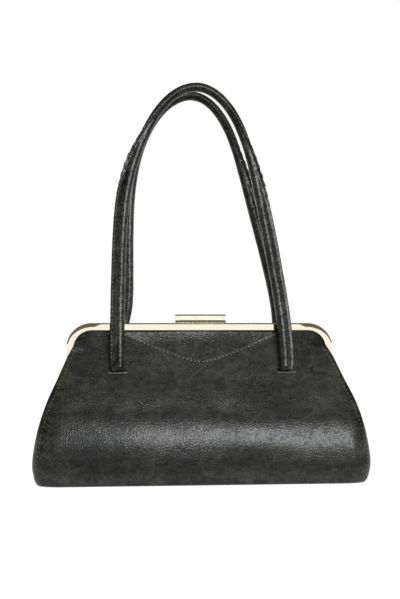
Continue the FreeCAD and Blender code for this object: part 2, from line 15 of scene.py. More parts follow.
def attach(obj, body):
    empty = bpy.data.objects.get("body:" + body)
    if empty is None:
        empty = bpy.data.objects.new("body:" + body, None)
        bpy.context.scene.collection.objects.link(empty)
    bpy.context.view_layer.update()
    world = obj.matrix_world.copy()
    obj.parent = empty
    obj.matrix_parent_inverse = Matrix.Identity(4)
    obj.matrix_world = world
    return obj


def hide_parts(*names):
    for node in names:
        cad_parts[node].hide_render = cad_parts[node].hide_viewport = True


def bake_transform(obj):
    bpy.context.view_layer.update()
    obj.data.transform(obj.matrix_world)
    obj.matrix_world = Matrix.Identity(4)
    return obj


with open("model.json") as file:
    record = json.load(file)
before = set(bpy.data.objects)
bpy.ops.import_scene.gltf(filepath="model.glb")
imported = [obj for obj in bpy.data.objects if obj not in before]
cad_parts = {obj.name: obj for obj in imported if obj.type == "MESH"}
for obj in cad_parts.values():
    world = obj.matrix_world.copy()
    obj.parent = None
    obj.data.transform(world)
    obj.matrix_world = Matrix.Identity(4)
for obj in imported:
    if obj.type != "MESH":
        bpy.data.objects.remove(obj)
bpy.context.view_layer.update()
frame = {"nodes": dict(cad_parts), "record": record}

bl_info = {
    "name": "Framed leather handbag",
    "version": (1, 0, 0),
    "blender": (4, 5, 0),
    "location": "View3D > Sidebar > Handbag",
    "description": "Builds the leather, lining, stitching and metal of a framed handbag "
                   "round its packed model",
    "category": "Object",
}

MM = 0.001
ENDS = (("front", -1), ("rear", 1))  # with their signs along Y
HANDS = (("left", -1), ("right", 1))  # with their signs along X

# Side view of a wall's outer face: height, depth from the closing plane
SECTION = (
    (144.5, 6.4), (141.6, 7.3), (139.0, 8.3), (136.0, 9.45), (130.0, 11.8), (116.4, 17.0),
    (104.0, 21.9), (92.4, 26.4), (80.0, 31.9), (68.0, 37.7), (62.0, 40.2), (56.0, 42.3),
    (50.0, 44.0), (44.0, 45.3), (38.0, 46.1), (32.0, 46.5), (24.0, 46.8), (14.2, 46.8), (6.5, 46.5),
    (2.4, 45.9), (0.6, 44.2), (0.1, 41.5), (0.0, 33.0))
WALL_TOP = SECTION[0][0]
# Front view of a wall's edge: height, half width; the last ones lie under the frame's lip
EDGE = (
    (0.0, 151.5), (3.0, 153.6), (8.0, 155.4), (22.0, 157.0), (47.8, 153.0), (75.0, 144.6),
    (96.9, 134.8), (111.0, 128.6), (117.0, 126.0), (121.0, 123.8), (125.0, 121.6), (130.0, 118.9),
    (134.0, 117.2), (137.5, 115.8), (140.0, 113.8), (142.5, 110.6), (144.2, 106.5), (144.5, 103.0))
CORNER_X, CORNER_Z = 103.0, 125.0  # centre of the frame's rounded corner
TUCK = (122.0, 138.0)  # heights between which a wall's edge slips under the frame's lip
RIDGE_SAG = 5.0  # how much lower the walls' ridge hangs on the right
# Soft turn towards the sides: breadth, depth, and how much deeper it is low down
TURN_REACH, TURN_DEPTH, TURN_MORE = 24.0, 2.0, 9.0
UNEVEN = 0.9  # depth of the leather's uneven places
LEATHER_SHARP = 55  # degrees from which leather's edges are shaded sharp
# Slots for the handles, and the bar of stitches under one: height, shift outwards, length
SLOT_X, SLOT_Z, SLOT_WIDE, SLOT_HIGH = 78.0, 105.2, 13.4, 1.4
TACK_Z, TACK_OUT, TACK_WIDE = 102.7, 2.0, 16.5
# The V of the yoke: point, slope and how softly its point is rounded
YOKE_POINT, YOKE_SLOPE, YOKE_SOFT = 114.2, 0.42, 13.0
# The yoke's half width, reach under the wall, padding, and its stitches' margin and half length
YOKE_HALF, YOKE_REACH, YOKE_PUFF, YOKE_STITCH, YOKE_SEWN = 92.0, 5.0, 0.85, 1.7, 84.0
# Sides: upper edge at the fold, its rise to the wall and how that curves, depth of the fold
SIDE_LOW, SIDE_RISE, SIDE_CURVE, FOLD_DEPTH = 86.0, 41.0, 1.42, 11.0
# Base and the cloth on it: half width, half depth, height
BASE_HALF, BASE_DEEP, BASE_UP = 150.0, 34.0, 1.9
CLOTH_HALF, CLOTH_DEEP, CLOTH_UP = 147.0, 31.5, 5.5
# Lining of a wall: upper and lower edge, gap to the wall's face, least depth
LINING_TOP, LINING_FOOT, LINING_GAP, LINING_LEAST = 140.0, 7.0, 3.3, 1.0
# Its slack, its bulge over a handle's end and its turn along the side seams
SLACK, BULGE, SEAM_TURN = 0.5, 2.1, 4.2
# Handles: lower end of the roll, then X and Z of the route's corner points in the roll's plane
ROLL_END_X, ROLL_END_Y, ROLL_END_Z = 77.6, 26.2, 109.0
HANDLE_PLANE = 17.2
FRONT_ROUTE = (
    (-77.2, 141.6), (-76.3, 231.9), (-70.6, 285.0), (-53.2, 331.9), (-32.0, 363.1), (-6.3, 375.0),
    (14.9, 366.5), (33.4, 344.2), (47.9, 304.0), (58.0, 253.1), (68.6, 197.0), (78.2, 141.6))
REAR_ROUTE = (
    (-76.0, 135.0), (-67.4, 158.0), (-67.4, 190.0), (-67.8, 247.6), (-65.0, 291.0), (-54.4, 329.4),
    (-34.0, 361.2), (-7.1, 374.0), (14.4, 362.9), (31.2, 336.8), (42.2, 301.5), (52.4, 261.0),
    (66.4, 209.7), (77.6, 160.0), (77.8, 135.0))
ROUTES = (("front", FRONT_ROUTE, -1), ("rear", REAR_ROUTE, 1))
ROLL_RADIUS = 4.7
ROLL_SLIMMER = 0.07  # share by which the roll draws in where its fin faces the front
# Upper half of the roll's outline from the middle of the sewn fin to the round
FIN_OUTLINE = (
    (8.7, 0.0), (8.95, 0.45), (8.8, 0.9), (8.2, 1.15), (7.2, 1.25), (6.1, 1.35), (5.2, 1.6),
    (4.6, 2.0))
FIN_STITCH_POINT = 4  # of that outline, where the stitches lie
ROUND_DEGREES = (32, 47, 62, 77, 92, 107, 122, 137, 152, 166)
FIN_PRESSED = 0.8  # share of the fin's reach that is pressed flat where it faces the front
# Shares of a handle's run between which it puckers, and depth and number of the puckers
PUCKERS = (((0.28, 0.31), (0.36, 0.40)), ((0.61, 0.65), (0.71, 0.76)))
PUCKER_DEPTH, PUCKER_COUNT = 0.95, 66
STITCH_LIFT = 0.12  # of the threads over the leather
# Side view of the clasp's hood: depth, height, round from the foot's front
HOOD_LENGTH = 48.4
HOOD_PROFILE = (
    (-5.05, 149.05), (-5.4, 150.0), (-5.77, 151.0), (-6.0, 151.62), (-6.14, 151.75), (-6.14, 153.0),
    (-6.14, 153.8), (-6.14, 155.0), (-6.14, 155.9), (-5.3, 156.75), (-4.5, 157.12), (-3.6, 157.2),
    (-1.2, 157.2), (0.9, 156.75), (2.6, 155.5), (3.33, 154.3), (2.06, 153.72), (0.6, 155.3),
    (-1.2, 155.8), (-3.0, 155.4), (-3.7, 154.2), (-3.3, 152.6), (-3.2, 149.05))
# Frame halves: outside of the legs and top, the channel's section and the slope along its outer
# edge, which is broader where the strip was squashed in the bend
FRAME_SIDE, FRAME_TOP, FRAME_CORNER, FRAME_LEG_END = 127.0, 149.0, 24.0, 97.0
FRAME_FACE, FRAME_BACK, FRAME_FRONT, FRAME_WALL = 6.8, 0.2, 8.4, 1.0
FRAME_EDGE, FRAME_BEND_EDGE = 1.2, 3.8
TOP_STATIONS = (0.0, 15.0, 30.0, 45.0, 60.0, 72.0, 80.0, 86.0, 90.0, 92.5, 95.0, 97.5, 100.0)
# Camera, in metres and degrees: round from the front, away, up, tilt upwards, focal length
CAMERA_TURN, CAMERA_AWAY, CAMERA_HEIGHT, CAMERA_PITCH = -5.5, 1.100, 0.150, 1.12
CAMERA_LENS = 69.15
# Lamps, in metres: place, aim, width, height, and watts
LAMPS = (
    ("front_softbox", (0.40, -1.30, 0.47), (0.13, 0.0, 0.10), 0.92, 0.54, 14.0),
    ("top_softbox", (0.03, -0.41, 0.84), (0.0, 0.0, 0.14), 0.30, 0.32, 2.1),
    ("rear_softbox", (-0.5, 1.3, 0.6), (0.0, 0.0, 0.10), 0.9, 0.6, 6.0))
# Cards, in metres: place, width, depth
CARDS = (("ceiling_card", (0.0, 0.0, 1.0), 9.0, 9.0), ("front_card", (0.0, -1.6, 0.002), 6.0, 3.0))
WHITE = (1.0, 1.0, 1.0, 1.0)

Place = namedtuple("Place", "centre fin across ahead outward share from_end")


def linear(code):
    """Linear colour of an sRGB hex code."""
    parts = [int(code[i:i + 2], 16) / 255 for i in (1, 3, 5)]
    return [p / 12.92 if p <= 0.04045 else ((p + 0.055) / 1.055) ** 2.4 for p in parts] + [1.0]


def smooth(low, high, value):
    """Soft step from 0 at low to 1 at high."""
    share = min(1.0, max(0.0, (value - low) / (high - low)))
    return share * share * (3 - 2 * share)


def fade(low, high, value):
    """Soft step from 1 at low to 0 at high."""
    return 1 - smooth(low, high, value)


def rounded(points, steps=14):
    """Dense soft line through a table of points."""
    line = []
    padded = [points[0], *points, points[-1]]
    for a, b, c, d in zip(padded, padded[1:], padded[2:], padded[3:]):
        for step in range(steps):
            t = step / steps
            line.append(tuple(
                0.5 * (2 * q + (r - p) * t + (2 * p - 5 * q + 4 * r - s) * t * t
                       + (3 * q - p - 3 * r + s) * t ** 3) for p, q, r, s in zip(a, b, c, d)))
    return line + [points[-1]]


def read(table, key):
    """Second value of a dense table at a first value, which falls or rises all along."""
    rising = table[0][0] < table[-1][0]
    low, high = (0, len(table) - 1) if rising else (len(table) - 1, 0)
    if key <= table[low][0]:
        return table[low][1]
    if key >= table[high][0]:
        return table[high][1]
    while abs(high - low) > 1:
        middle = (low + high) // 2
        if table[middle][0] <= key:
            low = middle
        else:
            high = middle
    share = (key - table[low][0]) / (table[high][0] - table[low][0])
    return table[low][1] + share * (table[high][1] - table[low][1])


def spaced(line):
    """Distance along a line at each of its points."""
    run = [0.0]
    for a, b in zip(line, line[1:]):
        run.append(run[-1] + math.dist(a, b))
    return run


SECTION_LINE, EDGE_LINE = rounded(SECTION), rounded(EDGE)
HEIGHTS, DEPTHS = zip(*SECTION_LINE)
RUNS = spaced(SECTION_LINE)
# Distance down the section by height, then height and depth by that distance
RUN_AT, HEIGHT_AT, DEPTH_AT = (
    list(zip(*pair)) for pair in ((HEIGHTS, RUNS), (RUNS, HEIGHTS), (RUNS, DEPTHS)))


def half_width(height):
    """Half the width of a wall at a height."""
    return read(EDGE_LINE, height)


def wall_depth(x, height, plain=None):
    """Depth of a wall's outer face, which slips under the frame's lip round the corners. Plain is
    the section's own depth, given for its foot, where one height has several."""
    across = abs(x)
    sag = RIDGE_SAG * smooth(10.0, 120.0, x) * smooth(10.0, 30.0, height) * fade(60.0, 95.0, height)
    depth = read(SECTION_LINE, height) if plain is None else plain
    depth += read(SECTION_LINE, height + sag) - read(SECTION_LINE, height)
    past = across - CORNER_X
    if past > 0:
        ring = math.hypot(past, max(0.0, height - CORNER_Z))
        tucked = read(SECTION_LINE, CORNER_Z + ring)
        depth += (tucked - depth) * smooth(*TUCK, height)
    inside = half_width(height) - across
    turned = (TURN_DEPTH + TURN_MORE * fade(34.0, 78.0, height)) * fade(95.0, 122.0, height)
    beyond = min(1.0, max(0.0, 1 - inside / TURN_REACH))
    depth -= turned * (1 - math.sqrt(1 - beyond * beyond))
    soft = smooth(4.0, 30.0, inside) * smooth(0.0, 14.0, height) * fade(88.0, 112.0, height)
    wave = noise.noise(Vector((x * 0.016, height * 0.022, 3.7)))
    return depth + UNEVEN * soft * wave


def yoke_edge(x):
    """Height of the panel's cut edge along the V of the yoke."""
    return YOKE_POINT + YOKE_SLOPE * (math.hypot(x, YOKE_SOFT) - YOKE_SOFT)


def node(tree, kind, settings=None, links=None):
    """One node with its settings and links."""
    made = tree.nodes.new(kind)
    for key, value in (settings or {}).items():
        if isinstance(key, int) or key in made.inputs:
            made.inputs[key].default_value = value
        else:
            setattr(made, key, value)
    for key, source in (links or {}).items():
        tree.links.new(source, made.inputs[key])
    return made


def empty_material(name):
    """Empty material and its node tree."""
    material = bpy.data.materials.new(name)
    material.use_nodes = True
    material.node_tree.nodes.clear()
    return material, material.node_tree


def new_material(name):
    """Material with a pattern: it, its node tree and the places on the object."""
    material, tree = empty_material(name)
    return material, tree, node(tree, "ShaderNodeTexCoord").outputs["Object"]


def surface(tree, shader):
    """Show a shader on a material."""
    node(tree, "ShaderNodeOutputMaterial", None, {"Surface": shader.outputs[0]})


def mottle(tree, where, spacing, detail, roughness=0.5, distortion=0.0):
    """Noise whose spots are a number of millimetres apart."""
    return node(tree, "ShaderNodeTexNoise", {
        "Scale": 1 / (spacing * MM), "Detail": detail, "Roughness": roughness,
        "Distortion": distortion}, {"Vector": where}).outputs["Fac"]


def total(tree, operation, *terms):
    """Result of a calculation with plain numbers or other nodes' results."""
    plain = {i: term for i, term in enumerate(terms) if isinstance(term, float)}
    linked = {i: term for i, term in enumerate(terms) if not isinstance(term, float)}
    return node(tree, "ShaderNodeMath", {"operation": operation, **plain}, linked).outputs[0]


def ranged(tree, source, low, high, bottom=0.0, top=1.0):
    """Value that runs from bottom to top as a pattern rises from low to high."""
    return node(tree, "ShaderNodeMapRange", {
        "From Min": low, "From Max": high, "To Min": bottom, "To Max": top},
        {"Value": source}).outputs[0]


def two_tone(tree, source, low, dark, high, pale):
    """Colours that run from dark to pale as a pattern rises from low to high."""
    ramp = node(tree, "ShaderNodeValToRGB", None, {"Fac": source})
    for element, position, colour in zip(ramp.color_ramp.elements, (low, high), (dark, pale)):
        element.position, element.color = position, colour
    return ramp.outputs["Color"]


def bumped(tree, height, strength, distance, **under):
    """Normal of a surface raised by a pattern, over another such normal where one is given."""
    return node(tree, "ShaderNodeBump", {"Strength": strength, "Distance": distance},
                {"Height": height, **under}).outputs["Normal"]


def leather_material(name, dark, pale, grain_mm, cloud_mm, crease):
    """Waxed, hand-rubbed cowhide: cloudy dark and paler patches with pale veins, a fine broken
    grain that makes the gloss sparkle in specks, and gloss that changes from place to place where
    the wax is thicker. The grain is drawn about twice as coarse as it is, so that it shows."""
    material, tree, where = new_material(name)
    cloud = mottle(tree, where, cloud_mm, 5.0, 0.6, 0.6)
    drawn = node(tree, "ShaderNodeMapping", {"Scale": (0.45, 1.0, 1.0)}, {"Vector": where})
    streak = mottle(tree, drawn.outputs[0], cloud_mm * 0.2, 4.0, 0.7, 0.5)
    pits = mottle(tree, where, grain_mm, 2.0, 0.6)
    grain = node(tree, "ShaderNodeTexVoronoi", {
        "Scale": 1 / (grain_mm * MM), "feature": "DISTANCE_TO_EDGE"}, {"Vector": where})
    # Tone: clouds, streaks along the bag and specks, then veins in the paler clouds
    broad = total(tree, "MULTIPLY_ADD", cloud, 1.3, -1.45)
    middle = total(tree, "MULTIPLY_ADD", streak, 1.1, broad)
    tone = total(tree, "MULTIPLY_ADD", pits, 1.5, middle)
    bent = mottle(tree, where, cloud_mm * 1.1, 3.0, 0.5, 1.0)
    away = total(tree, "ABSOLUTE", total(tree, "SUBTRACT", bent, 0.5))
    vein = ranged(tree, away, 0.0, 0.05, 0.32, 0.0)
    patch = ranged(tree, cloud, 0.42, 0.58)
    veined = total(tree, "MULTIPLY_ADD", vein, patch, tone)
    colour = two_tone(tree, veined, 0.30, dark, 0.80, pale)
    # Gloss, grain and creases
    waxed = total(tree, "MULTIPLY_ADD", pits, 1.8, cloud)
    gloss = ranged(tree, waxed, 1.12, 1.62, 0.36, 0.11)
    low = ranged(tree, grain.outputs["Distance"], 0.0, 0.3)
    height = total(tree, "ADD", low, pits)
    creases = mottle(tree, where, 5, 3.0)
    folded = bumped(tree, creases, 1.0, crease)
    normal = bumped(tree, height, 1.0, 0.000052, Normal=folded)
    surface(tree, node(tree, "ShaderNodeBsdfPrincipled", {"IOR": 1.45, "Specular IOR Level": 0.4}, {
        "Base Color": colour, "Roughness": gloss, "Normal": normal}))
    return material


def plate_material(name, tone):
    """Pale gold plate on a bent brass strip, polished: clear reflections, faint draw lines and a
    few softer patches from handling."""
    material, tree, where = new_material(name)
    rubbed = mottle(tree, where, 9, 4.0)
    drawn = node(tree, "ShaderNodeMapping", {
        "Scale": (1 / (60 * MM), 1 / (1.2 * MM), 1 / (1.2 * MM))}, {"Vector": where})
    lines = node(tree, "ShaderNodeTexNoise", {"Scale": 1.0, "Detail": 3.0},
                 {"Vector": drawn.outputs[0]})
    gloss = ranged(tree, rubbed, 0.3, 0.75, 0.04, 0.08)
    normal = bumped(tree, lines.outputs["Fac"], 0.006, 0.00004)
    surface(tree, node(tree, "ShaderNodeBsdfPrincipled", {"Base Color": tone, "Metallic": 1.0},
                       {"Roughness": gloss, "Normal": normal}))
    return material


def twill_material(name, tone, pale):
    """Cotton twill lining: soft and dull, with slanting ribs about 0.74 mm apart. A wave repeats
    every 2 pi / 20 of its scale."""
    material, tree, where = new_material(name)
    turned = node(tree, "ShaderNodeMapping", {"Rotation": (0.0, math.radians(45), 0.0)},
                  {"Vector": where})
    ribs = node(tree, "ShaderNodeTexWave", {
        "Scale": 2 * math.pi / 20 / (0.74022033 * MM), "Distortion": 0.8, "Detail": 2.0,
        "bands_direction": "X"}, {"Vector": turned.outputs[0]})
    slubs = mottle(tree, where, 5, 4.0)
    colour = two_tone(tree, slubs, 0.3, tone, 0.7, pale)
    normal = bumped(tree, ribs.outputs["Fac"], 0.5, 0.0002)
    surface(tree, node(tree, "ShaderNodeBsdfPrincipled", {"Roughness": 0.85, "Sheen Weight": 0.25},
                       {"Base Color": colour, "Normal": normal}))
    return material


def fibre_material(name, dark, pale, strand_mm, roughness):
    """Spun or pressed fibre: thread, paper cord and board, with streaks one strand wide."""
    material, tree, where = new_material(name)
    strands = mottle(tree, where, strand_mm, 3.0, 0.6)
    colour = two_tone(tree, strands, 0.32, dark, 0.68, pale)
    normal = bumped(tree, strands, 0.4, 0.0001)
    surface(tree, node(tree, "ShaderNodeBsdfPrincipled", {"Roughness": roughness},
                       {"Base Color": colour, "Normal": normal}))
    return material


class HandbagSizes(bpy.types.PropertyGroup):
    """Sizes that a maker would change."""

    leather: FloatProperty(name="Leather", description="Thickness of the walls and sides",
                           default=1.2 * MM, unit="LENGTH")
    lining: FloatProperty(name="Lining", description="Thickness of the lining cloth",
                          default=0.6 * MM, unit="LENGTH")
    pitch: FloatProperty(name="Stitch pitch", description="One stitch to the next",
                         default=3.9 * MM, unit="LENGTH")
    stitch: FloatProperty(name="Stitch length", description="Thread that shows in one stitch",
                          default=1.9 * MM, unit="LENGTH")
    thread: FloatProperty(name="Thread", description="Thickness of the sewing thread",
                          default=0.8 * MM, unit="LENGTH")
    seam: FloatProperty(name="Seam margin", description="Side stitching to the wall's edge",
                        default=4.3 * MM, unit="LENGTH")


class HandbagColours(bpy.types.PropertyGroup):
    """Colours that a maker would change."""

    leather_dark: FloatVectorProperty(
        name="Dark leather", description="Rubbed-in dark patches of the leather", size=4,
        subtype="COLOR", default=linear("#0E0F0C"))
    leather_pale: FloatVectorProperty(
        name="Pale leather", description="Worn paler patches of the leather", size=4,
        subtype="COLOR", default=linear("#3A3B30"))
    gold: FloatVectorProperty(
        name="Gold plate", description="Plating of frame and clasp", size=4,
        subtype="COLOR", default=linear("#F9F1DC"))
    lining: FloatVectorProperty(
        name="Lining", description="Lining cloth", size=4,
        subtype="COLOR", default=linear("#3A3835"))
    thread: FloatVectorProperty(
        name="Thread", description="Sewing thread", size=4,
        subtype="COLOR", default=linear("#96958C"))


def sizes():
    """Sizes set in the sidebar."""
    return bpy.context.scene.handbag_sizes


def finish_named(name):
    """Material of the handbag by name, made when first asked for."""
    if name in bpy.data.materials:
        return bpy.data.materials[name]
    tones = bpy.context.scene.handbag_colours
    hide = list(tones.leather_dark), list(tones.leather_pale)
    # Leather: spacing of grain and clouds in mm, depth of creases in metres.
    # Fibre: breadth of a strand in mm, roughness.
    make, *looks = {
        "waxed_cowhide": (leather_material, *hide, 2.6, 30.0, 0.00001),
        "rolled_cowhide": (leather_material, *hide, 3.0, 12.0, 0.0004),
        "pale_gold_plate": (plate_material, list(tones.gold)),
        "cotton_twill": (twill_material, list(tones.lining), linear("#4A4844")),
        "linen_thread": (fibre_material, linear("#78776F"), list(tones.thread), 0.5, 0.7),
        "twisted_paper": (fibre_material, linear("#9C8A6C"), linear("#C9B691"), 0.8, 0.85),
        "pressed_board": (fibre_material, linear("#6E6251"), linear("#8C7E69"), 1.5, 0.9)}[name]
    return make(name, *looks)


def clear_selection():
    """Leave edit mode, with nothing selected."""
    if bpy.context.mode != "OBJECT":
        bpy.ops.object.mode_set(mode="OBJECT")
    bpy.ops.object.select_all(action="DESELECT")


def pick(piece):
    """Make a piece the only one that operators act on."""
    clear_selection()
    piece.select_set(True)
    bpy.context.view_layer.objects.active = piece


def edit(piece):
    """Open a piece in edit mode with all of it selected, until the next pick."""
    pick(piece)
    bpy.ops.object.mode_set(mode="EDIT")
    bpy.ops.mesh.select_all(action="SELECT")


def grid(name, columns, rows, place):
    """Grid whose points go where place says, from across -1 to 1 and down 0 to 1."""
    clear_selection()
    bpy.ops.mesh.primitive_grid_add(x_subdivisions=columns, y_subdivisions=rows, size=2)
    piece = bpy.context.object
    piece.name = name
    for vertex in piece.data.vertices:
        vertex.co = Vector(place(vertex.co.x, (1 - vertex.co.y) / 2)) * MM
    return piece


def modify(piece, kind, **settings):
    """Add a modifier and apply it."""
    pick(piece)
    bpy.ops.object.modifier_add(type=kind)
    modifier = piece.modifiers[-1]
    for key, value in settings.items():
        setattr(modifier, key, value)
    bpy.ops.object.modifier_apply(modifier=modifier.name)


def shade(piece, degrees):
    """Shade a piece smooth, apart from edges sharper than an angle."""
    pick(piece)
    bpy.ops.object.shade_smooth_by_angle(angle=math.radians(degrees))


def soften(piece, width, degrees):
    """Round the edges of a piece that are sharper than an angle."""
    modify(piece, "BEVEL", width=width * MM, segments=2, limit_method="ANGLE",
           angle_limit=math.radians(degrees))


def skin(name, mesh, place, thickness, soft=0.0, turned=False):
    """Sheet with its thickness inwards and soft cut edges; turned where its faces look inwards."""
    piece = grid(name, *mesh, place)
    if turned:
        edit(piece)
        bpy.ops.mesh.flip_normals()
    modify(piece, "SOLIDIFY", thickness=thickness, offset=-1.0, use_even_offset=True)
    if soft:
        soften(piece, soft, degrees=50)
    shade(piece, LEATHER_SHARP)
    return piece


def closed(name, columns, rows, place):
    """Closed bar from a grid whose first and last columns meet."""
    piece = grid(name, columns, rows, place)
    edit(piece)
    bpy.ops.mesh.remove_doubles(threshold=0.000001)
    bpy.ops.mesh.fill_holes(sides=0)
    bpy.ops.mesh.normals_make_consistent(inside=False)
    return piece


def around(across, count):
    """Point of a closed outline that a place across a grid stands for."""
    return round((across + 1) / 2 * count) % count


def coat(piece, finish):
    """Give a piece its material and no other."""
    piece.data.materials.clear()
    piece.data.materials.append(finish_named(finish))


def dress(piece, finish, replaced=()):
    """Give a piece its material, and hide the solids that it stands for."""
    coat(piece, finish)
    if replaced:
        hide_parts(*replaced)


def bend_with(piece, side):
    """Bake a soft piece's place into its mesh. Side, for the front frame half (-1) or the rear one
    (1), is not used.
    """
    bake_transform(piece)


def cut_slots(piece, side):
    """Cut the two slots for the handle's ends through a wall."""
    reach = (SLOT_WIDE - SLOT_HIGH) / 2 * MM
    for x in (-SLOT_X, SLOT_X):
        clear_selection()
        depth = wall_depth(x, SLOT_Z)
        bpy.ops.mesh.primitive_cylinder_add(
            vertices=16, radius=SLOT_HIGH / 2 * MM, depth=24 * MM,
            location=(0, 0, 0), rotation=(math.radians(90), 0, 0))
        cutter = bpy.context.object
        bpy.ops.object.transform_apply(rotation=True)
        for vertex in cutter.data.vertices:
            vertex.co.x += reach if vertex.co.x > 0 else -reach
            vertex.co += Vector((x, side * depth, SLOT_Z)) * MM
        modify(piece, "BOOLEAN", operation="DIFFERENCE", object=cutter, solver="EXACT")
        bpy.data.objects.remove(cutter)


class HANDBAG_OT_walls(bpy.types.Operator):
    """Front and rear leather walls, each one sheet from the frame to under the base"""

    bl_idname = "handbag.walls"
    bl_label = "Walls"

    def execute(self, context):
        def on_section(across, run, side):
            height = read(HEIGHT_AT, run)
            x = across * half_width(height)
            return x, side * wall_depth(x, height, read(DEPTH_AT, run)), height

        def front(across, down):
            # The V's height and the width there depend on each other and settle in a few rounds
            height = 130.0
            for _ in range(8):
                height = min(WALL_TOP, yoke_edge(across * half_width(height)))
            top = read(RUN_AT, height)
            return on_section(across, top + (RUNS[-1] - top) * down, -1)

        def rear(across, down):
            return on_section(across, RUNS[-1] * down, 1)

        for (word, side), place in zip(ENDS, (front, rear)):
            piece = skin(f"{word}_wall", (140, 96), place, sizes().leather, 0.35, side > 0)
            cut_slots(piece, side)
            shade(piece, LEATHER_SHARP)
            dress(piece, "waxed_cowhide", (f"{word}_panel_upper", f"{word}_panel_lower"))
            bend_with(piece, side)
        return {"FINISHED"}


class HANDBAG_OT_yoke(bpy.types.Operator):
    """Yoke of leather under the V edge of the front wall"""

    bl_idname = "handbag.yoke"
    bl_label = "Yoke"

    def execute(self, context):
        step = sizes().leather / MM + 0.1

        def place(across, down):
            x = across * YOKE_HALF
            edge = yoke_edge(x)
            low = max(YOKE_POINT - YOKE_REACH, min(edge - YOKE_REACH, 138.0))
            height = WALL_TOP + (low - WALL_TOP) * down
            # Under the wall below the V's edge, level with its face above
            sunk = step + (-0.12 - step) * smooth(edge - 2.0, edge - 0.7, height)
            # Puffs out above that edge and leans back towards the frame
            leaning = max(0.0, height - 127.0)
            puffed = YOKE_PUFF * smooth(edge + 1.0, edge + 27.0, height)
            puffed -= 0.0052 * leaning ** 2
            return x, -wall_depth(x, height) + sunk - puffed, height

        piece = skin("yoke", (90, 60), place, sizes().leather)
        dress(piece, "waxed_cowhide", ("front_yoke",))
        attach(piece, "front_jaw")
        return {"FINISHED"}


def side_place(out, up, inset, lower):
    """Point on the right side's front half, from its middle fold (0) to the wall (1)."""
    top = SIDE_LOW + SIDE_RISE * out ** SIDE_CURVE
    height = 1.0 + up * (top - lower - 1.0)
    edge = half_width(height)
    depth = wall_depth(edge, height) - 1.2 - inset
    fold = FOLD_DEPTH * smooth(25.0, 92.0, height) * (1 - out) ** 1.4
    return edge - 0.7 - inset - fold, -out * depth, height


def side_halves(kind, mesh, thickness, soft=0.0, inset=0.0, lower=0.0, foot=0.0):
    """The four halves of the sides or of their lining: hand, end, the end's sign and the piece."""
    for hand, x_side in HANDS:
        for end, y_side in ENDS:
            def place(across, down):
                x, y, z = side_place((1 - across) / 2, 1 - down, inset, lower)
                return x * x_side, -y * y_side, max(z, foot)

            piece = skin(f"{hand}_{kind}_{end}", mesh, place, thickness, soft, x_side * y_side > 0)
            yield hand, end, y_side, piece


class HANDBAG_OT_sides(bpy.types.Operator):
    """Leather sides, each with a fold down its middle"""

    bl_idname = "handbag.sides"
    bl_label = "Sides"

    def execute(self, context):
        for hand, _, y_side, piece in side_halves("side", (26, 56), sizes().leather, 0.3):
            dress(piece, "waxed_cowhide", (f"{hand}_gusset",))
            bend_with(piece, y_side)
        return {"FINISHED"}


class HANDBAG_OT_base(bpy.types.Operator):
    """Leather base between the walls' turned-under edges, and its stiffening board"""

    bl_idname = "handbag.base"
    bl_label = "Base"

    def execute(self, context):
        def place(across, down):
            deep = down * 2 - 1
            crown = 0.5 * (1 - across ** 4) * (1 - deep ** 4)
            return across * BASE_HALF, deep * BASE_DEEP, BASE_UP + crown

        piece = skin("base", (80, 24), place, sizes().leather, 0.3)
        dress(piece, "waxed_cowhide", ("base_panel",))
        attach(piece, "bag_body")
        coat(frame["nodes"]["base_board"], "pressed_board")
        return {"FINISHED"}


class HANDBAG_OT_lining(bpy.types.Operator):
    """Twill lining of walls, sides and base"""

    bl_idname = "handbag.lining"
    bl_label = "Lining"

    def execute(self, context):
        cloth = sizes().lining
        for word, side in ENDS:
            def place(across, down):
                height = LINING_TOP + (LINING_FOOT - LINING_TOP) * down
                wide = half_width(height)
                # Just inside the wall's edge, and past it higher up, in the frame
                x = across * (wide - 2.4 + 5.0 * smooth(118.0, 128.0, height))
                inside = wide - abs(x)
                wave = Vector((x * 0.03, height * 0.04, side * 9.0))
                slack = SLACK * noise.noise(wave) * smooth(0.0, 12.0, LINING_TOP - height)
                slack *= smooth(0.0, 15.0, inside)
                beside = fade(7.5, 13.0, abs(abs(x) - SLOT_X))
                over_end = BULGE * beside * smooth(89.0, 95.0, height) * fade(110.0, 118.0, height)
                turned_in = SEAM_TURN * smooth(-9.0, -2.4, -inside)
                depth = wall_depth(x, height) - LINING_GAP - abs(slack) - over_end - turned_in
                return x, side * max(LINING_LEAST, depth), height

            piece = skin(f"{word}_lining", (100, 70), place, cloth, turned=side > 0)
            dress(piece, "cotton_twill", (f"{word}_lining_upper", f"{word}_lining_lower"))
            bend_with(piece, side)
        for hand, end, y_side, piece in side_halves(
                "side_lining", (20, 44), cloth, inset=2.4, lower=2.2, foot=6.0):
            dress(piece, "cotton_twill", (f"{hand}_lining",))
            bend_with(piece, y_side)

        def floor(across, down):
            y = (down * 2 - 1) * CLOTH_DEEP
            wave = 0.35 * noise.noise(Vector((across * 4.0, y * 0.06, 1.3)))
            return across * CLOTH_HALF, y, CLOTH_UP + wave

        piece = skin("base_cloth", (70, 20), floor, cloth)
        dress(piece, "cotton_twill", ("base_lining",))
        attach(piece, "bag_body")
        return {"FINISHED"}


def roll_outline():
    """Closed outline of the roll with its sewn fin along +X."""
    upper = list(FIN_OUTLINE)
    for turn in map(math.radians, ROUND_DEGREES):
        upper.append((ROLL_RADIUS * math.cos(turn), ROLL_RADIUS * math.sin(turn)))
    lower = [(x, -y) for x, y in reversed(upper[1:])]
    return upper + [(-ROLL_RADIUS, 0.0)] + lower


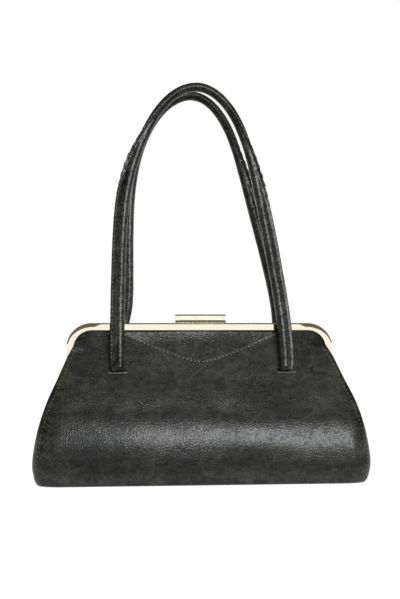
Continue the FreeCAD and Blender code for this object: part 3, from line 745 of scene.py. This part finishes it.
def curve_object(name, points, kind):
    """Curve with one spline through or along points, in metres."""
    curve = bpy.data.curves.new(name, "CURVE")
    curve.dimensions = "3D"
    spline = curve.splines.new(kind)
    spline.points.add(len(points) - 1)
    for target, point in zip(spline.points, points):
        target.co = (*point, 1.0)
    if kind == "NURBS":
        spline.order_u = 4
        spline.use_endpoint_u = True
        spline.resolution_u = 14
    made = bpy.data.objects.new(name, curve)
    bpy.context.scene.collection.objects.link(made)
    return made


def smooth_route(route, side):
    """Points read from the smooth line of a handle's route."""
    ends = [(x, side * ROLL_END_Y, ROLL_END_Z) for x in (-ROLL_END_X, ROLL_END_X)]
    points = [ends[0], *[(x, side * HANDLE_PLANE, z) for x, z in route], ends[1]]
    path = curve_object("route", [Vector(p) * MM for p in points], "NURBS")
    bpy.context.view_layer.update()
    shown = path.evaluated_get(bpy.context.evaluated_depsgraph_get())
    mesh = bpy.data.meshes.new_from_object(shown)
    line = [v.co.copy() for v in mesh.vertices]
    bpy.data.meshes.remove(mesh)
    bpy.data.objects.remove(path)
    return line


def fin_turned(share):
    """How far the fin has turned from the outside of the arch (0) to the front (1)."""
    return smooth(0.27, 0.46, share) * fade(0.53, 0.80, share)


def places_along(route, side):
    """Places along a handle: centre, directions of the fin, across it, ahead and out of the arch,
    share of the run, and distance to the nearer end in mm."""
    line = smooth_route(route, side)
    run = spaced(line)
    made = []
    for i, point in enumerate(line):
        ahead = (line[min(i + 1, len(line) - 1)] - line[max(i - 1, 0)]).normalized()
        front = Vector((0.0, -1.0, 0.0))
        front = (front - ahead * front.dot(ahead)).normalized()
        outward = front.cross(ahead)
        share = run[i] / run[-1]
        turn = math.radians(88) * fin_turned(share)
        fin = outward * math.cos(turn) + front * math.sin(turn)
        across = front * math.cos(turn) - outward * math.sin(turn)
        from_end = min(run[i], run[-1] - run[i]) / MM
        made.append(Place(point, fin, across, ahead, outward, share, from_end))
    return made


def roll_point(place, x, y, side, lift=0.0):
    """Point of the roll's outline at one place of its line."""
    share, turned = place.share, fin_turned(place.share)
    reach = math.hypot(x, y)
    way = (place.fin * x + place.across * y) / reach
    if reach > ROLL_RADIUS:
        raised = smooth(0.0, 4.0, place.from_end) * 0.2 + 0.8
        reach = ROLL_RADIUS + (reach - ROLL_RADIUS) * (raised - FIN_PRESSED * turned)
    reach *= 1 - ROLL_SLIMMER * turned
    reach += 0.12 * noise.noise(Vector((x * 0.3, y * 0.3, share * 55.0 + side * 7.0)))
    puckered = sum(smooth(*start, share) * fade(*stop, share) for start, stop in PUCKERS)
    ripple = math.sin(share * PUCKER_COUNT * 2 * math.pi + side)
    reach += PUCKER_DEPTH * puckered * ripple * max(0.0, way.dot(place.outward)) ** 2
    return place.centre + way * ((reach + lift) * MM)


def end_rings(place, ring, back):
    """Rings that close the roll's end: round when it turns in the slot, square from the front."""
    made = []
    for turn in map(math.radians, (28, 50, 68, 80, 87)):
        share = math.cos(turn)
        middle = place.centre + back * (math.sin(turn) * ROLL_RADIUS * MM)
        flat = []
        for point in ring:
            away = point - place.centre
            along_fin = place.fin * (away.dot(place.fin) * share ** 0.22)
            flat.append(middle + along_fin + place.across * (away.dot(place.across) * share))
        made.append(flat)
    return made


class HANDBAG_OT_handles(bpy.types.Operator):
    """Rolled handles with a sewn fin, on the outside of the legs and turned to the front on top"""

    bl_idname = "handbag.handles"
    bl_label = "Handles"

    def execute(self, context):
        outline = roll_outline()
        count = len(outline)
        for word, route, side in ROUTES:
            places = places_along(route, side)
            rings = [[roll_point(place, x, y, side) for x, y in outline] for place in places]
            first = end_rings(places[0], rings[0], -places[0].ahead)
            last = end_rings(places[-1], rings[-1], places[-1].ahead)
            rings = first[::-1] + rings + last
            rows = len(rings) - 1

            def place(across, down):
                return rings[round(down * rows)][around(across, count)] / MM

            piece = closed(f"{word}_handle", count, rows, place)
            modify(piece, "SUBSURF", levels=1, render_levels=1)
            pick(piece)
            bpy.ops.object.shade_smooth()
            dress(piece, "rolled_cowhide",
                  (f"{word}_handle_cover", f"{word}_handle_core"))
            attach(piece, f"{word}_handle")
        return {"FINISHED"}


class HANDBAG_OT_tabs(bpy.types.Operator):
    """Flat leather ends of the handles, which pass through the slots and are sewn inside"""

    bl_idname = "handbag.tabs"
    bl_label = "Handle ends"

    def execute(self, context):
        for word, side in ENDS:
            for hand, x_side in HANDS:
                def place(across, down):
                    # From the roll's end in front of the slot down to behind the wall
                    height = SLOT_Z + 2.5 - 9.5 * down
                    out = 3.6 * smooth(-1.0, 2.5, height - SLOT_Z)
                    inside = 3.1 - smooth(-0.8, 0.6, height - SLOT_Z)
                    x = x_side * SLOT_X + across * 6.6
                    return x, side * (wall_depth(x, height) - inside + out), height

                piece = skin(f"{word}_{hand}_tab", (14, 18), place, sizes().leather, 0.25, side > 0)
                dress(piece, "rolled_cowhide", (f"{word}_handle_tails",))
                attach(piece, f"{word}_jaw")
        return {"FINISHED"}


def on_wall(x, height, side):
    """Point for a stitch on a wall, in metres."""
    return Vector((x, side * (wall_depth(x, height) + STITCH_LIFT), height)) * MM


def on_fin(place, way):
    """Stitch's place on one face of the fin, from flank to crest as the fin turns to the front."""
    step = FIN_STITCH_POINT * (1 - fin_turned(place.share))
    low = min(int(step), FIN_STITCH_POINT - 1)
    (x, y), (next_x, next_y) = FIN_OUTLINE[low:low + 2]
    return x + (next_x - x) * (step - low), way * (y + (next_y - y) * (step - low))


def stitch_row(name, points, finer=1.0, closer=1.0):
    """Stitches along a line of points in metres, as one mesh."""
    size = sizes()
    pitch, thread = size.pitch * closer, size.thread * finer
    path = curve_object(name + "_line", points, "POLY")
    clear_selection()
    bpy.ops.mesh.primitive_uv_sphere_add(segments=8, ring_count=5, radius=1.0)
    piece = bpy.context.object
    piece.name = name
    edit(piece)
    bpy.ops.transform.resize(value=(size.stitch / 2, thread / 2, thread / 2))
    bpy.ops.transform.translate(value=(pitch / 2, 0.0, 0.0))
    modify(piece, "ARRAY", fit_type="FIT_CURVE", curve=path, use_relative_offset=False,
           use_constant_offset=True, constant_offset_displace=(pitch, 0.0, 0.0))
    modify(piece, "CURVE", object=path, deform_axis="POS_X")
    bpy.data.objects.remove(path)
    pick(piece)
    bpy.ops.object.shade_smooth()
    dress(piece, "linen_thread")
    return piece


class HANDBAG_OT_stitching(bpy.types.Operator):
    """Thread along the side seams, the yoke, the handles' fins and the handle ends"""

    bl_idname = "handbag.stitching"
    bl_label = "Stitching"

    def execute(self, context):
        seam = sizes().seam / MM
        for word, side in ENDS:
            for hand, x_side in HANDS:
                heights = [7.0 + (125.0 - 7.0) * step / 79 for step in range(80)]
                points = [on_wall(x_side * (half_width(z) - seam), z, side) for z in heights]
                bend_with(stitch_row(f"{word}_{hand}_seam_thread", points, finer=0.55), side)
                middle = x_side * (ROLL_END_X + TACK_OUT)
                along = [middle + (step / 8 - 0.5) * TACK_WIDE for step in range(9)]
                points = [on_wall(x, TACK_Z, side) for x in along]
                row = stitch_row(f"{word}_{hand}_tack_thread", points, finer=1.7, closer=0.5)
                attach(row, f"{word}_jaw")
        along = [(step / 120 - 0.5) * 2 * YOKE_SEWN for step in range(121)]
        points = [on_wall(x, yoke_edge(x) - YOKE_STITCH, -1) for x in along]
        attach(stitch_row("yoke_thread", points), "front_jaw")
        for word, route, side in ROUTES:
            # In front all along, at the back only on the legs, where the fin faces outwards
            sewn = [at for at in places_along(route, side) if at.from_end > 5.0]
            legs = [at for at in sewn if fin_turned(at.share) < 0.4]
            for face, way, run in (
                    ("front", 1, sewn),
                    ("rear_left", -1, [at for at in legs if at.share < 0.5]),
                    ("rear_right", -1, [at for at in legs if at.share > 0.5])):
                points = [roll_point(at, *on_fin(at, way), side, STITCH_LIFT) for at in run]
                row = stitch_row(f"{word}_handle_{face}_thread", points, finer=0.8)
                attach(row, f"{word}_handle")
        return {"FINISHED"}


def strip(name, count, rows, place):
    """Closed metal bar with soft edges."""
    piece = closed(name, count, rows, place)
    soften(piece, width=0.15, degrees=60)
    shade(piece, degrees=26)
    modify(piece, "WEIGHTED_NORMAL", keep_sharp=True)
    return piece


def frame_section(edge):
    """Outline of the frame's channel for a sloped edge: inset from the outside, depth from the
    closing plane."""
    deep = edge * 0.95
    return [
        (FRAME_FACE, FRAME_BACK), (0.0, FRAME_BACK), (0.0, FRAME_FRONT - deep),
        (edge * 0.5, FRAME_FRONT - edge * 0.42), (edge, FRAME_FRONT),
        (FRAME_FACE, FRAME_FRONT), (FRAME_FACE, FRAME_FRONT - FRAME_WALL),
        (max(FRAME_WALL, edge), FRAME_FRONT - FRAME_WALL),
        (FRAME_WALL, FRAME_FRONT - max(FRAME_WALL, deep + 0.4)),
        (FRAME_WALL, FRAME_BACK + FRAME_WALL), (FRAME_FACE, FRAME_BACK + FRAME_WALL)]


def frame_stations():
    """Places along a frame half from leg to leg: point outside, direction inwards, breadth of the
    sloped edge."""
    more = FRAME_BEND_EDGE - FRAME_EDGE
    half = [((x, FRAME_TOP), (0.0, -1.0), FRAME_EDGE + more * smooth(94.0, 101.5, x))
            for x in TOP_STATIONS]
    for degrees in range(0, 91, 5):
        turn = math.radians(90 - degrees)
        out = (math.cos(turn), math.sin(turn))
        point = (CORNER_X + FRAME_CORNER * out[0], CORNER_Z + FRAME_CORNER * out[1])
        edge = FRAME_EDGE + more * fade(12.0, 84.0, degrees)
        half.append((point, (-out[0], -out[1]), edge))
    for z in (118.0, 111.0, 104.0, FRAME_LEG_END):
        half.append(((FRAME_SIDE, z), (-1.0, 0.0), FRAME_EDGE))
    mirrored = [((-x, z), (-way, up), edge) for (x, z), (way, up), edge in reversed(half[1:])]
    return mirrored + half


class HANDBAG_OT_frame(bpy.types.Operator):
    """Two halves of the metal frame, each a channel bent to a bow"""

    bl_idname = "handbag.frame"
    bl_label = "Frame"

    def execute(self, context):
        stations = frame_stations()
        sections = [frame_section(edge) for _, _, edge in stations]
        count, rows = len(sections[0]), len(stations) - 1
        for word, side in ENDS:
            def place(across, down):
                row = round(down * rows)
                (x, z), (way, up), _ = stations[row]
                inset, depth = sections[row][around(across, count)]
                return x + way * inset, side * depth, z + up * inset

            piece = strip(f"{word}_bow", count, rows, place)
            dress(piece, "pale_gold_plate", (f"{word}_frame",))
            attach(piece, f"{word}_jaw")
        return {"FINISHED"}


class HANDBAG_OT_hood(bpy.types.Operator):
    """Front bar of the snap, with a flat face over a groove"""

    bl_idname = "handbag.hood"
    bl_label = "Clasp hood"

    def execute(self, context):
        count = len(HOOD_PROFILE)

        def place(across, down):
            return (0.5 - down) * HOOD_LENGTH, *HOOD_PROFILE[around(across, count)]

        piece = strip("hood", count, 8, place)
        dress(piece, "pale_gold_plate", ("clasp_hood",))
        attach(piece, "front_jaw")
        return {"FINISHED"}


class HANDBAG_OT_metal(bpy.types.Operator):
    """Gold plate on the frame's and clasp's solids, and paper for the cord in the channel"""

    bl_idname = "handbag.metal"
    bl_label = "Metal"

    def execute(self, context):
        finishes = {"frame_gold": "pale_gold_plate", "packing": "twisted_paper"}
        for entry in frame["record"]["subparts"]:
            if entry["material_slot"] in finishes:
                coat(frame["nodes"][entry["node"]], finishes[entry["material_slot"]])
        return {"FINISHED"}


def seen_straight(tree):
    """1 for what the camera sees, also in reflections and through glass, 0 for light on things."""
    path = node(tree, "ShaderNodeLightPath").outputs
    seen = total(tree, "MAXIMUM", path["Is Camera Ray"], path["Is Glossy Ray"])
    return total(tree, "MAXIMUM", seen, path["Is Transmission Ray"])


class HANDBAG_OT_stage(bpy.types.Operator):
    """Pale floor, soft studio light and the camera"""

    bl_idname = "handbag.stage"
    bl_label = "Stage"

    def execute(self, context):
        scene = context.scene
        scene.view_settings.view_transform = "Standard"
        self.make_world(scene)
        self.make_floor()
        self.make_cards()
        for name, place, aim, wide, high, power in LAMPS:
            clear_selection()
            bpy.ops.object.light_add(type="AREA", location=place)
            lamp = context.object
            lamp.name = name
            way = Vector(aim) - Vector(place)
            lamp.rotation_euler = way.to_track_quat("-Z", "Y").to_euler()
            lamp.data.shape = "RECTANGLE"
            lamp.data.size, lamp.data.size_y, lamp.data.energy = wide, high, power
            lamp.data.color = (0.93, 0.95, 1.0)
            lamp.visible_camera = False
        turn = math.radians(CAMERA_TURN)
        clear_selection()
        bpy.ops.object.camera_add(
            location=(math.sin(turn) * CAMERA_AWAY, -math.cos(turn) * CAMERA_AWAY, CAMERA_HEIGHT),
            rotation=(math.radians(90 + CAMERA_PITCH), 0.0, turn))
        camera = context.object
        camera.data.sensor_width = 36.0
        camera.data.lens = CAMERA_LENS
        scene.camera = camera
        return {"FINISHED"}

    def make_world(self, scene):
        """White to the eye and in reflections, an even soft light to everything else."""
        world = bpy.data.worlds.new("studio")
        scene.world = world
        world.use_nodes = True
        tree = world.node_tree
        tree.nodes.clear()
        shown = seen_straight(tree)
        plain = node(tree, "ShaderNodeBackground", {"Color": WHITE, "Strength": 0.15})
        white = node(tree, "ShaderNodeBackground", {"Color": WHITE, "Strength": 1.0})
        mixed = node(tree, "ShaderNodeMixShader", None, {
            0: shown, 1: plain.outputs[0], 2: white.outputs[0]})
        node(tree, "ShaderNodeOutputWorld", None, {"Surface": mixed.outputs[0]})

    def make_floor(self):
        """White floor that keeps the bag's shadow."""
        clear_selection()
        bpy.ops.mesh.primitive_plane_add(size=12.0, location=(0.0, 0.0, -0.0004))
        floor = bpy.context.object
        floor.name = "floor"
        material, tree = empty_material("white_floor")
        share = total(tree, "MULTIPLY", seen_straight(tree), 0.72)
        paint = node(tree, "ShaderNodeBsdfDiffuse", {"Color": linear("#B8B8B6")})
        glow = node(tree, "ShaderNodeEmission", {"Color": WHITE, "Strength": 1.42})
        surface(tree, node(tree, "ShaderNodeMixShader", None, {
            0: share, 1: paint.outputs[0], 2: glow.outputs[0]}))
        floor.data.materials.append(material)

    def make_cards(self):
        """Dark cards that only gloss and metal reflect."""
        material, tree = empty_material("dark_card")
        surface(tree, node(tree, "ShaderNodeEmission", {
            "Color": linear("#F0E7CC"), "Strength": 0.16}))
        for name, place, wide, deep in CARDS:
            bpy.ops.mesh.primitive_plane_add(size=1.0, location=place)
            card = bpy.context.object
            card.name = name
            card.scale = (wide, deep, 1.0)
            bpy.ops.object.transform_apply(location=False, scale=True)
            card.data.materials.append(material)
            for ray in ("camera", "diffuse", "shadow", "transmission"):
                setattr(card, f"visible_{ray}", False)


class HANDBAG_PT_panel(bpy.types.Panel):
    """Sidebar list of the handbag's steps"""

    bl_idname = "HANDBAG_PT_panel"
    bl_label = "Handbag"
    bl_space_type = "VIEW_3D"
    bl_region_type = "UI"
    bl_category = "Handbag"

    def draw(self, context):
        for group in (context.scene.handbag_sizes, context.scene.handbag_colours):
            for key in group.__annotations__:
                self.layout.prop(group, key)
        for step in STEPS:
            self.layout.operator(step.bl_idname)


STEPS = (
    HANDBAG_OT_walls, HANDBAG_OT_yoke, HANDBAG_OT_sides, HANDBAG_OT_base, HANDBAG_OT_lining,
    HANDBAG_OT_handles, HANDBAG_OT_tabs, HANDBAG_OT_stitching, HANDBAG_OT_frame, HANDBAG_OT_hood,
    HANDBAG_OT_metal, HANDBAG_OT_stage)
CLASSES = (HandbagSizes, HandbagColours, *STEPS, HANDBAG_PT_panel)


def register():
    """Add the classes and their settings to Blender."""
    for entry in CLASSES:
        bpy.utils.register_class(entry)
    bpy.types.Scene.handbag_sizes = PointerProperty(type=HandbagSizes)
    bpy.types.Scene.handbag_colours = PointerProperty(type=HandbagColours)


def unregister():
    """Take them out again."""
    del bpy.types.Scene.handbag_colours
    del bpy.types.Scene.handbag_sizes
    for entry in reversed(CLASSES):
        bpy.utils.unregister_class(entry)


def main():
    """Build every piece and the stage."""
    register()
    bpy.ops.handbag.walls()
    bpy.ops.handbag.yoke()
    bpy.ops.handbag.sides()
    bpy.ops.handbag.base()
    bpy.ops.handbag.lining()
    bpy.ops.handbag.handles()
    bpy.ops.handbag.tabs()
    bpy.ops.handbag.stitching()
    bpy.ops.handbag.frame()
    bpy.ops.handbag.hood()
    bpy.ops.handbag.metal()
    bpy.ops.handbag.stage()


if __name__ == "__main__":
    main()
